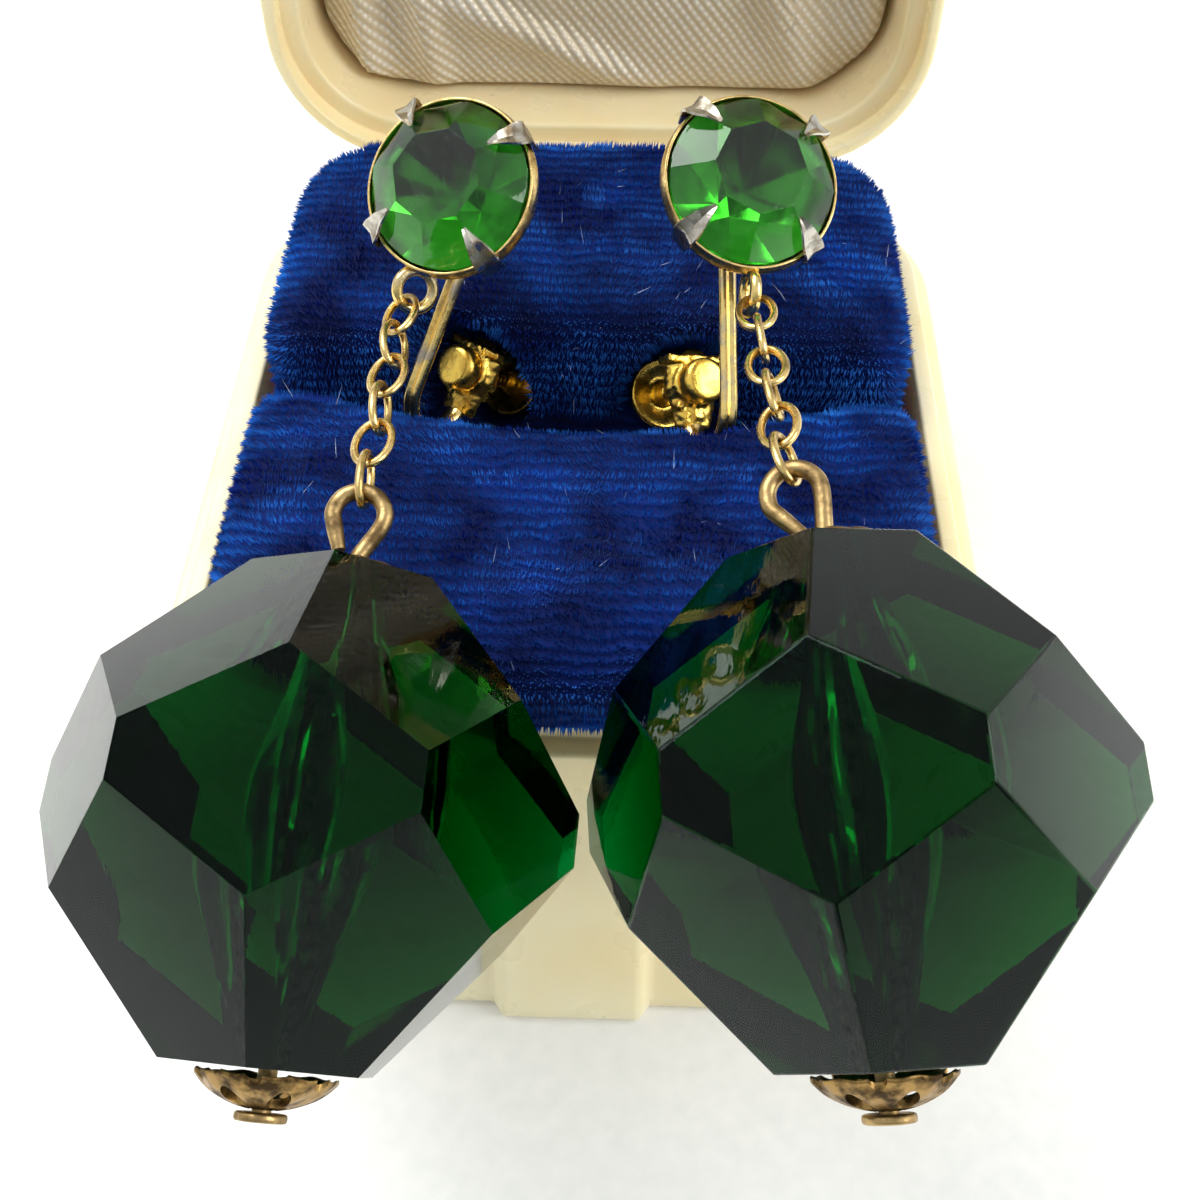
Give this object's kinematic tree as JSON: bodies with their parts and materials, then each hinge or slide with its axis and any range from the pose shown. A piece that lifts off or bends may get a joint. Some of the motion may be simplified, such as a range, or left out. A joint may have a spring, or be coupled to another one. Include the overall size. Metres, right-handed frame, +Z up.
{
  "type": "pair of drop earrings in a ring box",
  "caption": "Open ring box with velvet pads and a satin-lined lid, holding a pair of screw-back earrings with large faceted bead drops on short chains.",
  "frame": {"origin": "middle of the box base's flat underside, which stands on a table", "axes": "+Z up out of the open box, -Y towards the front where the beads hang, +X to the right as seen from the front"},
  "size_m": [0.066, 0.1058, 0.0823],
  "materials": {
    "ivory_plastic": "satin",
    "blue_velvet": "pile",
    "cream_satin": "satin weave",
    "gold_plate": "worn polish",
    "aged_brass": "tarnished",
    "pin_steel": "drawn",
    "green_glass": "polished",
    "green_acrylic": "polished, scuffed"
  },
  "bodies": {
    "box": {"box_base": "ivory_plastic", "hinge_pin": "pin_steel", "pad_front": "blue_velvet", "pad_back": "blue_velvet", "stone_left": "green_glass", "ear_fitting_left": "gold_plate", "link_1_left": "gold_plate", "link_2_left": "gold_plate", "link_3_left": "gold_plate", "link_4_left": "gold_plate", "link_5_left": "gold_plate", "link_6_left": "gold_plate", "headpin_left": "gold_plate", "cap_top_left": "aged_brass", "cap_bottom_left": "aged_brass", "bead_left": "green_acrylic", "stone_right": "green_glass", "ear_fitting_right": "gold_plate", "link_1_right": "gold_plate", "link_2_right": "gold_plate", "link_3_right": "gold_plate", "link_4_right": "gold_plate", "link_5_right": "gold_plate", "link_6_right": "gold_plate", "headpin_right": "gold_plate", "cap_top_right": "aged_brass", "cap_bottom_right": "aged_brass", "bead_right": "green_acrylic"},
    "lid": {"box_lid": "ivory_plastic", "lid_lining": "cream_satin"},
    "pad_slide_left": {"ear_pad_left": "gold_plate"},
    "thumb_screw_left": {"ear_screw_left": "gold_plate"},
    "pad_slide_right": {"ear_pad_right": "gold_plate"},
    "thumb_screw_right": {"ear_screw_right": "gold_plate"}
  },
  "joints": [
    {"name": "lid_hinge", "type": "hinge", "parent": "box", "child": "lid", "pos_m": [0, 0.03, 0.0245], "axis": [1, 0, 0], "range_deg": [0, 57]},
    {"name": "left_screw_advance", "type": "slide", "parent": "box", "child": "pad_slide_left", "axis": [-0.4778, -0.542, 0.6914], "range_m": [0, 0.0025]},
    {"name": "left_screw_turn", "type": "hinge", "parent": "pad_slide_left", "child": "thumb_screw_left", "pos_m": [-0.01105, -0.00092, 0.03219], "axis": [-0.4778, -0.542, 0.6914], "range_deg": [0, 1800]},
    {"name": "right_screw_advance", "type": "slide", "parent": "box", "child": "pad_slide_right", "axis": [0.3808, -0.5659, 0.7312], "range_m": [0, 0.0025]},
    {"name": "right_screw_turn", "type": "hinge", "parent": "pad_slide_right", "child": "thumb_screw_right", "pos_m": [0.00972, -0.00316, 0.03352], "axis": [0.3808, -0.5659, 0.7312], "range_deg": [0, 1800]}
  ],
  "couplings": [
    {"joint": "left_screw_turn", "follows": "left_screw_advance", "rad_per_m": 12566},
    {"joint": "right_screw_turn", "follows": "right_screw_advance", "rad_per_m": 12566}
  ]
}
